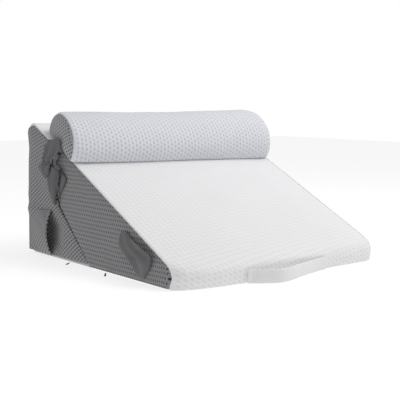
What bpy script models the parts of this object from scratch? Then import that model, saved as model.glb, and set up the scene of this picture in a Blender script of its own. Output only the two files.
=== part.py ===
"""A wedge pillow set that forms one long slope: a front wedge, a rear wedge and a half-moon head bolster.

The frame has X across the pillow, Y towards its tall end and Z up, with the floor at z = 0. Everything is
modelled about the middle of the two wedges and hangs from one empty, which moves it so that the origin is
at the bottom centre of the whole object. Lengths are in metres.
"""

import math

import bmesh
import bpy
from mathutils import Vector

# Driving dimensions of the two wedges
WIDTH = 0.600
DEPTH = 0.570
NOSE_HEIGHT = 0.043
TOP_HEIGHT = 0.319
SPLIT_TOP_Y = 0.194
SPLIT_KNEE_Y = 0.1495
SPLIT_KNEE_Z = 0.1235
SPLIT_FOOT_Y = 0.0045
WEDGE_GAP = 0.0014
REAR_Y = 0.2845
REAR_TOP_ROUND = 0.012
PANEL_TOP_ROUND = 0.018

# Cloth thicknesses and the gaps that keep the pieces apart
PANEL = 0.0020
BAND = 0.0022
BAND_EDGE = 0.92
GAP = 0.0003
SEAM_MARGIN = 0.0025
SPLIT_MARGIN = 0.0004
BASE_STRIP = 0.0060
EDGE_ROUND = 0.0070

# The back panel: its lower edge, how far it stops below the top, its clearance and its corner rounding
BACK_LOW_Z = 0.0200
BACK_TOP_DROP = 0.0260
BACK_CLEAR = 0.0011
BACK_CORNER = 0.0120

# The front wedge's nose stands forward between its corners, more on the left: columns are x and how far
NOSE_BULGE = (
    (-0.300, -0.006),
    (-0.290, 0.006),
    (-0.278, 0.014),
    (-0.241, 0.024),
    (-0.193, 0.029),
    (-0.130, 0.031),
    (-0.050, 0.028),
    (0.060, 0.018),
    (0.150, 0.010),
    (0.235, 0.004),
    (0.275, 0.002),
    (0.292, -0.002),
    (0.300, -0.006),
)
NOSE_BULGE_TOP = 0.066
NOSE_BULGE_FULL = 0.034

# The left side of the front wedge leans in towards its top edge: inwards for each metre of height
LEFT_LEAN = 0.036

# Bolster sections, set along the slope: columns are x, front edge, base width, height and how far the
# rear of the section is drawn towards the middle of the bolster
BOLSTER_SECTIONS = (
    (-0.2970, 0.4200, 0.157, 0.0750, 0.022),
    (-0.2900, 0.4165, 0.164, 0.0770, 0.019),
    (-0.2700, 0.4140, 0.168, 0.0775, 0.014),
    (-0.2300, 0.4120, 0.170, 0.0775, 0.006),
    (-0.1700, 0.4100, 0.171, 0.0770, 0.000),
    (-0.0800, 0.4085, 0.171, 0.0768, 0.000),
    (0.0100, 0.4090, 0.171, 0.0775, 0.000),
    (0.1000, 0.4080, 0.171, 0.0815, 0.000),
    (0.1800, 0.4060, 0.172, 0.0858, 0.000),
    (0.2400, 0.4050, 0.173, 0.0890, 0.000),
    (0.2750, 0.4055, 0.173, 0.0890, 0.000),
    (0.2900, 0.4085, 0.169, 0.0870, 0.000),
    (0.2970, 0.4130, 0.161, 0.0840, 0.000),
)
BOLSTER_SIDE = 0.018
BOLSTER_FOOT_ROUND = 0.009
BOLSTER_LIFT = 0.0006
BOLSTER_DOME = 0.005
DOME_RINGS = (0.86, 0.62, 0.32)
CAP_CLEAR = 0.0007
CAP_INSET = 0.02

# The pocket on the left of the rear wedge: its mouth faces forward and gapes
POCKET_MOUTH_Y = 0.170
POCKET_REAR_Y = 0.2830
POCKET_LOW_Z = 0.0070
POCKET_HIGH_Z = 0.1120
POCKET_GAPE = 0.0175
POCKET_HEM_SAG = 0.004
POCKET_REAR_DROP = 0.006
POCKET_CLEAR = 0.0006
POCKET_FULLNESS = 0.75
POCKET_TAPER = 0.8

# Carrying handle at the nose, seen from above: columns are x, y and how high its lower edge stands
NOSE_HANDLE_PATH = (
    (-0.1280, -0.3200, 0.0010),
    (-0.1170, -0.3240, 0.0008),
    (-0.1000, -0.3340, 0.0006),
    (-0.0770, -0.3460, 0.0006),
    (-0.0530, -0.3502, 0.0006),
    (-0.0250, -0.3435, 0.0006),
    (0.0140, -0.3290, 0.0006),
    (0.0600, -0.3145, 0.0006),
    (0.0950, -0.3045, 0.0008),
    (0.1200, -0.3015, 0.0010),
)
NOSE_HANDLE_HEIGHT = 0.029

# Grab handle on the front wedge's left side: columns are y, z, half width and stand-off from the panel
SIDE_HANDLE_STATIONS = (
    (-0.1269, 0.0995, 0.0091, 0.0026),
    (-0.1347, 0.0865, 0.0129, 0.0090),
    (-0.1563, 0.0733, 0.0165, 0.0150),
    (-0.1860, 0.0607, 0.0190, 0.0190),
    (-0.2020, 0.0459, 0.0180, 0.0170),
    (-0.2030, 0.0288, 0.0135, 0.0100),
    (-0.1955, 0.0103, 0.0074, 0.0026),
)

# Strap that ties the bolster down over the rear wedge: columns are y, z, half width and stand-off
TIE_STATIONS = (
    (0.1600, 0.2680, 0.0270, 0.0056),
    (0.1632, 0.2610, 0.0264, 0.0060),
    (0.1709, 0.2505, 0.0253, 0.0070),
    (0.1802, 0.2373, 0.0227, 0.0082),
    (0.1876, 0.2265, 0.0193, 0.0094),
    (0.1949, 0.2144, 0.0255, 0.0100),
    (0.1939, 0.2040, 0.0227, 0.0098),
    (0.1902, 0.1948, 0.0141, 0.0085),
    (0.1892, 0.1878, 0.0050, 0.0070),
)

# Smooth tab that joins the wedges, on the rear one: the same columns
REAR_TAB_STATIONS = (
    (0.1522, 0.2204, 0.0190, 0.0046),
    (0.1543, 0.2110, 0.0230, 0.0050),
    (0.1564, 0.1982, 0.0250, 0.0052),
    (0.1598, 0.1795, 0.0235, 0.0050),
    (0.1631, 0.1606, 0.0200, 0.0046),
    (0.1638, 0.1419, 0.0150, 0.0038),
    (0.1630, 0.1279, 0.0099, 0.0028),
)

# The small flap of that tab on the front wedge: the same columns
FRONT_FLAP_STATIONS = (
    (0.1431, 0.2057, 0.0066, 0.0026),
    (0.1319, 0.1950, 0.0115, 0.0040),
    (0.1291, 0.1861, 0.0125, 0.0048),
    (0.1343, 0.1719, 0.0095, 0.0040),
    (0.1424, 0.1585, 0.0043, 0.0026),
)

# Zip pulls on the floor at the foot of each wedge's left side: columns are node name, y, length and how far
# the pull is turned towards the nose, in degrees
ZIP_PULLS = (
    ("zip_pull_front", -0.0600, 0.0340, 55.0),
    ("zip_pull_rear", 0.0915, 0.0250, 42.0),
)
PULL_WIDTH = 0.0040
PULL_THICKNESS = 0.0016

# Where the bottom centre of the whole object lies in the wedges' own frame
BOTTOM_CENTRE = Vector((-0.0097, -0.0325, 0.0))

# Finishes: columns are name, colour and roughness
FINISHES = {
    "white_knit": ((0.74, 0.74, 0.76), 0.85),
    "white_quilted_knit": ((0.70, 0.71, 0.74), 0.85),
    "grey_mesh": ((0.135, 0.135, 0.145), 0.90),
    "grey_band": ((0.120, 0.120, 0.130), 0.80),
    "dark_zip": ((0.060, 0.060, 0.065), 0.55),
}

HALF_WIDTH = WIDTH / 2
NOSE_Y = -DEPTH / 2
SLOPE_RISE = (TOP_HEIGHT - NOSE_HEIGHT) / DEPTH
SLOPE = math.atan(SLOPE_RISE)
BODY_HALF = HALF_WIDTH - PANEL - GAP
CORNER_STEPS = 5
BAND_STEPS = 4


def clear_scene():
    """Remove whatever the scene holds."""
    for obj in list(bpy.data.objects):
        bpy.data.objects.remove(obj, do_unlink=True)


def finish(name):
    """The Principled material of that name, made once."""
    material = bpy.data.materials.get(name)
    if material is None:
        colour, roughness = FINISHES[name]
        material = bpy.data.materials.new(name)
        material.use_nodes = True
        shader = material.node_tree.nodes["Principled BSDF"]
        shader.inputs["Base Color"].default_value = (*colour, 1.0)
        shader.inputs["Roughness"].default_value = roughness
        shader.inputs["Metallic"].default_value = 0.0
    return material


def add_piece(name, bm, material, parent, sharp_degrees=50):
    """Turn a bmesh into a smooth-shaded object that hangs from the parent."""
    bmesh.ops.recalc_face_normals(bm, faces=bm.faces)
    mesh = bpy.data.meshes.new(name)
    bm.to_mesh(mesh)
    bm.free()
    mesh.shade_smooth()
    mesh.set_sharp_from_angle(angle=math.radians(sharp_degrees))
    mesh.materials.append(finish(material))
    piece = bpy.data.objects.new(name, mesh)
    bpy.context.scene.collection.objects.link(piece)
    piece.parent = parent
    return piece


def smoothstep(low, high, value):
    """0 below low, 1 above high, smooth between."""
    t = min(1.0, max(0.0, (value - low) / (high - low)))
    return t * t * (3 - 2 * t)


def read_table(table, key):
    """The columns of a table at a key in its first column, on straight lines between its rows."""
    if key <= table[0][0]:
        return table[0][1:]
    for below, above in zip(table, table[1:]):
        if key <= above[0]:
            t = (key - below[0]) / (above[0] - below[0])
            return tuple(a + (b - a) * t for a, b in zip(below[1:], above[1:]))
    return table[-1][1:]


def slope_z(y):
    """Height of the slope above the floor at y."""
    return NOSE_HEIGHT + (y - NOSE_Y) * SLOPE_RISE


def on_slope(x, along, height):
    """A point given by its distance up the slope and its height above it."""
    y = NOSE_Y + along * math.cos(SLOPE) - height * math.sin(SLOPE)
    z = NOSE_HEIGHT + along * math.sin(SLOPE) + height * math.cos(SLOPE)
    return Vector((x, y, z))


def catmull_rom(points, steps):
    """A smooth curve through rows of numbers, with that many steps between neighbours."""
    rows = [Vector(p) for p in points]
    rows = [2 * rows[0] - rows[1], *rows, 2 * rows[-1] - rows[-2]]
    curve = []
    for a, b, c, d in zip(rows, rows[1:], rows[2:], rows[3:]):
        for i in range(steps):
            t = i / steps
            square = (2 * a - 5 * b + 4 * c - d) * t * t
            cube = (3 * b - a - 3 * c + d) * t**3
            curve.append(0.5 * (2 * b + (c - a) * t + square + cube))
    curve.append(rows[-2])
    return curve


def shrink_outline(corners, insets):
    """Move each edge of a (y, z, radius) outline inwards. Edge i runs from corner i to the next one."""
    count = len(corners)
    lines = []
    for i in range(count):
        start = Vector(corners[i][:2])
        along = (Vector(corners[(i + 1) % count][:2]) - start).normalized()
        inward = Vector((-along.y, along.x))
        lines.append((start + inward * insets[i], along))
    moved = []
    for i in range(count):
        (p, u), (q, v) = lines[i - 1], lines[i]
        cross = u.x * v.y - u.y * v.x
        t = ((q.x - p.x) * v.y - (q.y - p.y) * v.x) / cross
        corner = p + u * t
        least = min(insets[i - 1], insets[i])
        moved.append((corner.x, corner.y, max(0.001, corners[i][2] - least)))
    return moved


def rounded_outline(corners, edge_steps):
    """Points of an outline with its corners rounded and its edges divided, as (y, z) vectors."""
    count = len(corners)
    arcs = []
    for i in range(count):
        here = Vector(corners[i][:2])
        back = (Vector(corners[i - 1][:2]) - here).normalized()
        ahead = (Vector(corners[(i + 1) % count][:2]) - here).normalized()
        half = back.angle(ahead) / 2
        radius = corners[i][2]
        reach = radius / math.tan(half)
        centre = here + (back + ahead).normalized() * (radius / math.sin(half))
        first = here + back * reach - centre
        last = here + ahead * reach - centre
        sweep = math.pi - 2 * half
        arc = []
        for k in range(CORNER_STEPS + 1):
            t = k / CORNER_STEPS
            a = math.sin((1 - t) * sweep) / math.sin(sweep)
            b = math.sin(t * sweep) / math.sin(sweep)
            arc.append(centre + first * a + last * b)
        arcs.append(arc)
    points = []
    for i, arc in enumerate(arcs):
        points.extend(arc)
        ahead = arcs[(i + 1) % count][0]
        for k in range(1, edge_steps[i]):
            points.append(arc[-1].lerp(ahead, k / edge_steps[i]))
    return points


def skin_rings(bm, rings):
    """Join closed rings of equal length with quads and close both ends. Returns the rings' vertices."""
    made = [[bm.verts.new(p) for p in ring] for ring in rings]
    for one, two in zip(made, made[1:]):
        for i in range(len(one)):
            j = (i + 1) % len(one)
            bm.faces.new((one[i], one[j], two[j], two[i]))
    bm.faces.new(list(reversed(made[0])))
    bm.faces.new(made[-1])
    return made


def front_corners():
    """Side outline of the front wedge: y, z and corner radius, anticlockwise from its lower rear corner."""
    return [
        (SPLIT_FOOT_Y, 0.0, 0.004),
        (SPLIT_KNEE_Y, SPLIT_KNEE_Z, 0.018),
        (SPLIT_TOP_Y, slope_z(SPLIT_TOP_Y), 0.013),
        (NOSE_Y - 0.005, slope_z(NOSE_Y - 0.005), 0.032),
        (NOSE_Y + 0.004, 0.0, 0.004),
    ]


FRONT_STEPS = (6, 5, 12, 3, 8)


def rear_corners(top_round):
    """Side outline of the rear wedge, anticlockwise from its lower front corner.

    Its split side is the front wedge's one moved square to itself by the gap, which shifts each corner by its
    own share of the gap.
    """
    foot_y = SPLIT_FOOT_Y + 1.54 * WEDGE_GAP
    knee_y = SPLIT_KNEE_Y + 0.88 * WEDGE_GAP
    knee_z = SPLIT_KNEE_Z - 0.57 * WEDGE_GAP
    top_y = SPLIT_TOP_Y + 1.22 * WEDGE_GAP
    return [
        (foot_y, 0.0, 0.003),
        (REAR_Y, 0.0, 0.018),
        (REAR_Y + 0.001, slope_z(REAR_Y + 0.001), top_round),
        (top_y, slope_z(top_y), 0.010),
        (knee_y, knee_z, 0.018),
    ]


REAR_STEPS = (8, 8, 5, 5, 6)


def shape_front(point):
    """Stand the nose forward and lean the left side in, as the filled cover does."""
    x, y, z = point
    (forward,) = read_table(NOSE_BULGE, x)
    near_nose = 1 - smoothstep(NOSE_Y + 0.010, NOSE_Y + 0.075, y)
    low = 1 - smoothstep(NOSE_BULGE_FULL, NOSE_BULGE_TOP, z)
    y -= forward * near_nose * low
    x += LEFT_LEAN * z * max(0.0, -x) / HALF_WIDTH
    return Vector((x, y, z))


def keep_shape(point):
    """Leave a point where it is."""
    return Vector(point)


def wedge_stations():
    """Places across a wedge and how far its section is drawn in there, to round its long edges."""
    rim = []
    for k in range(4):
        turn = math.pi / 2 * k / 3
        rim.append((BODY_HALF - EDGE_ROUND * (1 - math.sin(turn)), EDGE_ROUND * (1 - math.cos(turn))))
    right = [(x, inset) for x, inset in reversed(rim)]
    middle = [(BODY_HALF - EDGE_ROUND) * k / 5 for k in range(-4, 5)]
    left = [(-x, inset) for x, inset in right]
    return [*left, *((x, 0.0) for x in middle), *reversed(right)]


def build_wedge(name, corners, edge_steps, shape, material, parent):
    """A wedge of foam in its knitted cover: one filled solid with soft edges."""
    rings = []
    for x, inset in wedge_stations():
        outline = rounded_outline(shrink_outline(corners, [inset] * len(corners)), edge_steps)
        rings.append([shape((x, p.x, max(p.y, 0.0))) for p in outline])
    bm = bmesh.new()
    skin_rings(bm, rings)
    return add_piece(name, bm, material, parent)


def build_side_panel(name, corners, insets, edge_steps, side, shape, parent):
    """A mesh side panel, a flat sheet just outside the wedge's end."""
    outline = rounded_outline(shrink_outline(corners, insets), edge_steps)
    inner = side * (HALF_WIDTH - PANEL)
    outer = side * HALF_WIDTH
    rings = [[shape((x, p.x, p.y)) for p in outline] for x in (inner, outer)]
    bm = bmesh.new()
    skin_rings(bm, rings)
    return add_piece(name, bm, "grey_mesh", parent)


def build_back_panel(parent):
    """The mesh panel across the rear wedge's back, a sheet with rounded ends."""
    half = BODY_HALF - EDGE_ROUND
    low, high = BACK_LOW_Z, slope_z(REAR_Y) - BACK_TOP_DROP
    outline = ((-half, low), (half, low), (half, high), (-half, high))
    y = REAR_Y + BACK_CLEAR
    rings = [[Vector((x, depth, z)) for x, z in outline] for depth in (y, y + PANEL)]
    bm = bmesh.new()
    skin_rings(bm, rings)
    upright = [e for e in bm.edges if abs(e.verts[0].co.y - e.verts[1].co.y) > PANEL / 2]
    bmesh.ops.bevel(bm, geom=upright, offset=BACK_CORNER, segments=4, profile=0.5, affect="EDGES")
    return add_piece("rear_back", bm, "grey_mesh", parent)


def bolster_section(x, front, width, height, drawn_in):
    """One section of the bolster: a flat base, short upright sides and a rounded top."""
    half = width / 2
    points = []
    foot = BOLSTER_FOOT_ROUND
    for k in range(9):
        points.append((-half + foot + (width - 2 * foot) * k / 8, 0.0))
    for k in range(1, 4):
        turn = math.pi / 2 * k / 3
        points.append((half - foot + foot * math.sin(turn), foot - foot * math.cos(turn)))
    crown = height - BOLSTER_SIDE
    for k in range(27):
        turn = math.pi * k / 26
        points.append((half * math.cos(turn), BOLSTER_SIDE + crown * math.sin(turn)))
    for k in range(3, 0, -1):
        turn = math.pi / 2 * k / 3
        points.append((-half + foot - foot * math.sin(turn), foot - foot * math.cos(turn)))
    section = []
    for u, h in points:
        back = (u + half) / width
        section.append(on_slope(x + drawn_in * back, front + half + u, BOLSTER_LIFT + h))
    return section


def scaled_ring(ring, factor, outward):
    """A ring drawn towards its middle and moved outwards."""
    middle = sum(ring, Vector()) / len(ring)
    return [middle + (p - middle) * factor + outward for p in ring]


def dome_rings(ring, side, clear, inset):
    """Rings that close the end of the bolster with a low dome, standing clear of its end ring."""
    rings = [scaled_ring(ring, 1 - inset, Vector((side * clear, 0, 0)))]
    for factor in DOME_RINGS:
        rise = clear + BOLSTER_DOME * (1 - factor**2)
        rings.append(scaled_ring(ring, factor * (1 - inset), Vector((side * rise, 0, 0))))
    return rings


def build_bolster(parent):
    """The half-moon head bolster and its two mesh end caps."""
    keys = [row[0] for row in BOLSTER_SECTIONS]
    places = [keys[0], *(keys[0] + (keys[-1] - keys[0]) * k / 16 for k in range(1, 16)), keys[-1]]
    places = sorted({*places, keys[1], keys[-2]})
    sections = [bolster_section(x, *read_table(BOLSTER_SECTIONS, x)) for x in places]
    left_end, right_end = sections[0], sections[-1]
    left_dome = dome_rings(left_end, -1, 0.0, 0.0)[1:]
    right_dome = dome_rings(right_end, 1, 0.0, 0.0)[1:]
    bm = bmesh.new()
    skin_rings(bm, [*reversed(left_dome), *sections, *right_dome])
    add_piece("bolster", bm, "white_quilted_knit", parent)
    for name, end, side in (("bolster_cap_left", left_end, -1), ("bolster_cap_right", right_end, 1)):
        outer = dome_rings(end, side, GAP + PANEL, CAP_INSET)
        inner = dome_rings(end, side, CAP_CLEAR, CAP_INSET)
        bm = bmesh.new()
        skin_rings(bm, [*reversed(outer), *inner])
        add_piece(name, bm, "grey_mesh", parent)


def skin_band(bm, path, across, normals, thickness):
    """A flat band swept along a path, with softened edges and closed ends."""
    edge = BAND_EDGE
    rings = []
    for centre, half, normal in zip(path, across, normals):
        lift = normal * thickness / 2
        rings.append(
            [
                centre - half,
                centre - half * edge - lift,
                centre + half * edge - lift,
                centre + half,
                centre + half * edge + lift,
                centre - half * edge + lift,
            ]
        )
    skin_rings(bm, rings)


def build_side_band(name, stations, thickness, shape, material, parent):
    """A band that lies against the left side: stations give y, z, half width and stand-off."""
    rows = catmull_rom(stations, BAND_STEPS)
    path, across = [], []
    for i, row in enumerate(rows):
        before, after = rows[max(0, i - 1)], rows[min(len(rows) - 1, i + 1)]
        along = Vector((0.0, after[0] - before[0], after[1] - before[1])).normalized()
        side = Vector((0.0, -along.z, along.y))
        centre = shape((-HALF_WIDTH, row[0], row[1]))
        path.append(centre + Vector((-row[3], 0.0, 0.0)))
        across.append(side * row[2])
    bm = bmesh.new()
    skin_band(bm, path, across, band_normals(path, across), thickness)
    return add_piece(name, bm, material, parent)


def band_normals(path, across):
    """Unit normals of a band, square to its path and to its width."""
    normals = []
    for i in range(len(path)):
        before, after = path[max(0, i - 1)], path[min(len(path) - 1, i + 1)]
        normals.append((after - before).cross(across[i]).normalized())
    return normals


def build_nose_handle(parent):
    """The white carrying handle that bows forward from the nose, standing on its lower edge."""
    rows = catmull_rom(NOSE_HANDLE_PATH, BAND_STEPS)
    half = Vector((0.0, 0.0, NOSE_HANDLE_HEIGHT / 2))
    path = [Vector((r.x, r.y, r.z)) + half for r in rows]
    across = [half.copy() for _ in path]
    bm = bmesh.new()
    skin_band(bm, path, across, band_normals(path, across), BAND)
    return add_piece("nose_handle", bm, "white_knit", parent)


def build_pocket(parent):
    """The pocket on the rear wedge's left side: a panel sewn at three edges that gapes at its mouth."""
    deep, tall = 9, 10
    base = HALF_WIDTH + POCKET_CLEAR
    layers = []
    for lift in (0.0, PANEL):
        grid = []
        for i in range(deep + 1):
            back = i / deep
            column = []
            for j in range(tall + 1):
                up = j / tall
                arch = math.sin(math.pi * up) ** POCKET_FULLNESS if 0 < j < tall else 0.0
                gape = POCKET_GAPE * arch * (1 - smoothstep(0.0, 1.0, back)) ** POCKET_TAPER
                y = POCKET_MOUTH_Y + (POCKET_REAR_Y - POCKET_MOUTH_Y) * back
                y += POCKET_HEM_SAG * (1 - back) * (1 - arch)
                z = POCKET_LOW_Z + (POCKET_HIGH_Z - POCKET_LOW_Z) * up - POCKET_REAR_DROP * back * up
                column.append(Vector((-(base + lift + gape), y, z)))
            grid.append(column)
        layers.append(grid)
    bm = bmesh.new()
    inner, outer = ([[bm.verts.new(p) for p in column] for column in grid] for grid in layers)
    for i in range(deep):
        for j in range(tall):
            bm.faces.new((inner[i][j], inner[i + 1][j], inner[i + 1][j + 1], inner[i][j + 1]))
            bm.faces.new((outer[i][j + 1], outer[i + 1][j + 1], outer[i + 1][j], outer[i][j]))
    rim = [(i, 0) for i in range(deep)] + [(deep, j) for j in range(tall)]
    rim += [(i, tall) for i in range(deep, 0, -1)] + [(0, j) for j in range(tall, 0, -1)]
    for (a, b), (c, d) in zip(rim, [*rim[1:], rim[0]]):
        bm.faces.new((inner[a][b], inner[c][d], outer[c][d], outer[a][b]))
    return add_piece("rear_pocket", bm, "grey_mesh", parent)


def build_zip_pull(name, y, length, turned, parent):
    """A small flat zip pull that lies on the floor beside the foot of the side."""
    start = HALF_WIDTH + GAP + PULL_WIDTH / 2
    bm = bmesh.new()
    bmesh.ops.create_cube(bm, size=1.0)
    bmesh.ops.scale(bm, vec=(length, PULL_WIDTH, PULL_THICKNESS), verts=bm.verts)
    bmesh.ops.bevel(bm, geom=list(bm.edges), offset=0.0005, segments=1, affect="EDGES")
    bmesh.ops.translate(bm, vec=(-length / 2, 0.0, 0.0), verts=bm.verts)
    pull = add_piece(name, bm, "dark_zip", parent)
    pull.rotation_euler.z = math.radians(turned)
    pull.location = (-start, y, PULL_THICKNESS / 2)
    return pull


def build_front_wedge(parent):
    """The long front wedge with its two mesh sides."""
    corners = front_corners()
    build_wedge("front_wedge", corners, FRONT_STEPS, shape_front, "white_knit", parent)
    margins = [SPLIT_MARGIN, SPLIT_MARGIN, SEAM_MARGIN, SEAM_MARGIN, SEAM_MARGIN]
    for name, side in (("front_side_left", -1), ("front_side_right", 1)):
        build_side_panel(name, corners, margins, FRONT_STEPS, side, shape_front, parent)


def build_rear_wedge(parent):
    """The tall rear wedge with its mesh sides and back, and a pale strip left at its base."""
    build_wedge("rear_wedge", rear_corners(REAR_TOP_ROUND), REAR_STEPS, keep_shape, "white_knit", parent)
    margins = [BASE_STRIP, SEAM_MARGIN, SEAM_MARGIN, SPLIT_MARGIN, SPLIT_MARGIN]
    corners = rear_corners(PANEL_TOP_ROUND)
    for name, side in (("rear_side_left", -1), ("rear_side_right", 1)):
        build_side_panel(name, corners, margins, REAR_STEPS, side, keep_shape, parent)
    build_back_panel(parent)


def main():
    """Build every piece of the pillow set."""
    clear_scene()
    centre = bpy.data.objects.new("pillow_centre", None)
    bpy.context.scene.collection.objects.link(centre)
    centre.location = -BOTTOM_CENTRE
    build_front_wedge(centre)
    build_rear_wedge(centre)
    build_bolster(centre)
    build_pocket(centre)
    build_nose_handle(centre)
    build_side_band("side_handle", SIDE_HANDLE_STATIONS, BAND, shape_front, "grey_band", centre)
    build_side_band("bolster_tie", TIE_STATIONS, BAND, keep_shape, "grey_mesh", centre)
    build_side_band("rear_tab", REAR_TAB_STATIONS, BAND, keep_shape, "grey_band", centre)
    build_side_band("front_flap", FRONT_FLAP_STATIONS, BAND, shape_front, "grey_band", centre)
    for name, y, length, turned in ZIP_PULLS:
        build_zip_pull(name, y, length, turned, centre)


main()
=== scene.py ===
"""Dressed wedge pillow set: two foam wedges in one slope, a half-moon head bolster and their straps.

Every piece is modelled about the middle of the two wedges, as the CAD source is, and moved at the end by
FRAME_SHIFT into the shared frame. X runs across the pillow, Y towards its tall end, Z up. Lengths are metres.
"""

import logging
import math
from dataclasses import dataclass, field
from enum import Enum

import bpy
import numpy as np
from mathutils import Matrix, Vector, noise

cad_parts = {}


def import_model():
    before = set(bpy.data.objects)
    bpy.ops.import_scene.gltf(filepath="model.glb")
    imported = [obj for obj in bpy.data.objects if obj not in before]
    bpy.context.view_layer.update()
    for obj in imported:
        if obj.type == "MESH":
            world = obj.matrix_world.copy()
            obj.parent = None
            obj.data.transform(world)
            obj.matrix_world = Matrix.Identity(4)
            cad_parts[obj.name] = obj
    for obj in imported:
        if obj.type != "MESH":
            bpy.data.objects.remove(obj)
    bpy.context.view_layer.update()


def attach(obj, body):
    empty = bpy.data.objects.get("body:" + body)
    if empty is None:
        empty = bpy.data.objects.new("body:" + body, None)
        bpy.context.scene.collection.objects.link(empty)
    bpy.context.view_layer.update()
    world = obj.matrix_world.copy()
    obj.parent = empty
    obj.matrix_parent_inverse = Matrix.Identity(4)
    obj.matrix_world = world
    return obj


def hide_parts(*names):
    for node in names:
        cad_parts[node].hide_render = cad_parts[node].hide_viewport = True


LOG = logging.getLogger("wedge_pillow")

# Sizes shared with the CAD source
FRAME_SHIFT = Vector((0.0097, 0.0325, 0.0))
HALF_WIDTH = 0.300
NOSE_Y = -0.285
REAR_Y = 0.2845
NOSE_HEIGHT = 0.043
SLOPE_RISE = 0.276 / 0.570
SLOPE = math.atan(SLOPE_RISE)
SPLIT_TOP_Y = 0.194
SPLIT_KNEE_Y = 0.1495
SPLIT_KNEE_Z = 0.1235
SPLIT_FOOT_Y = 0.0045
WEDGE_GAP = 0.0014
LEFT_LEAN = 0.036
CLOTH = 0.0020

NOSE_BULGE = np.array(
    [
        (-0.300, -0.006),
        (-0.290, 0.006),
        (-0.278, 0.014),
        (-0.241, 0.024),
        (-0.193, 0.029),
        (-0.130, 0.031),
        (-0.050, 0.028),
        (0.060, 0.018),
        (0.150, 0.010),
        (0.235, 0.004),
        (0.275, 0.002),
        (0.292, -0.002),
        (0.300, -0.006),
    ]
)


class Slot(Enum):
    """Material slots of the record."""

    WHITE = "white_knit"
    QUILTED = "white_quilted_knit"
    MESH = "grey_mesh"
    BAND = "grey_band"
    ZIP = "dark_zip"


def linear(colour: str) -> tuple[float, float, float, float]:
    """Linear colour of an sRGB hex string."""
    parts = [int(colour[i : i + 2], 16) / 255 for i in (1, 3, 5)]
    return (*(c / 12.92 if c <= 0.04045 else ((c + 0.055) / 1.055) ** 2.4 for c in parts), 1.0)


def smoothstep(low: float, high: float, value: np.ndarray | float) -> np.ndarray | float:
    """0 below low, 1 above high, smooth between."""
    t = np.clip((value - low) / (high - low), 0.0, 1.0)
    return t * t * (3 - 2 * t)


def bump_at(value: np.ndarray, centre: float, width: float) -> np.ndarray:
    """A smooth hill of height 1 at centre that ends at width on both sides."""
    return 1 - smoothstep(0.0, width, np.abs(value - centre))


def slope_z(y: float) -> float:
    """Height of the slope above the floor at y."""
    return NOSE_HEIGHT + (y - NOSE_Y) * SLOPE_RISE


def cloud(points: np.ndarray, scale: tuple[float, float, float], seed: float) -> np.ndarray:
    """Smooth noise from -1 to 1 at points, with a feature length in metres for each axis."""
    rows = points / np.array(scale) + seed
    return np.array([noise.noise(Vector(row)) for row in rows])


def catmull_rom(rows: np.ndarray, steps: int) -> np.ndarray:
    """A smooth curve through rows of numbers, with that many steps between neighbours."""
    rows = np.asarray(rows, float)
    rows = np.vstack([2 * rows[0] - rows[1], rows, 2 * rows[-1] - rows[-2]])
    curve = []
    for a, b, c, d in zip(rows, rows[1:], rows[2:], rows[3:]):
        for t in np.arange(steps) / steps:
            cubic = (3 * b - a - 3 * c + d) * t**3
            curve.append(0.5 * (2 * b + (c - a) * t + (2 * a - 5 * b + 4 * c - d) * t * t + cubic))
    curve.append(rows[-2])
    return np.array(curve)


def along_line(points: np.ndarray, count: int) -> np.ndarray:
    """That many points evenly spaced along a polyline."""
    lengths = np.linalg.norm(np.diff(points, axis=0), axis=1)
    walked = np.concatenate([[0.0], np.cumsum(lengths)])
    wanted = np.linspace(0.0, walked[-1], count)
    return np.stack([np.interp(wanted, walked, points[:, k]) for k in range(points.shape[1])], axis=1)


@dataclass(frozen=True)
class Corner:
    """A corner of a wedge's side outline: its place and its rounding."""

    y: float
    z: float
    radius: float


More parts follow.
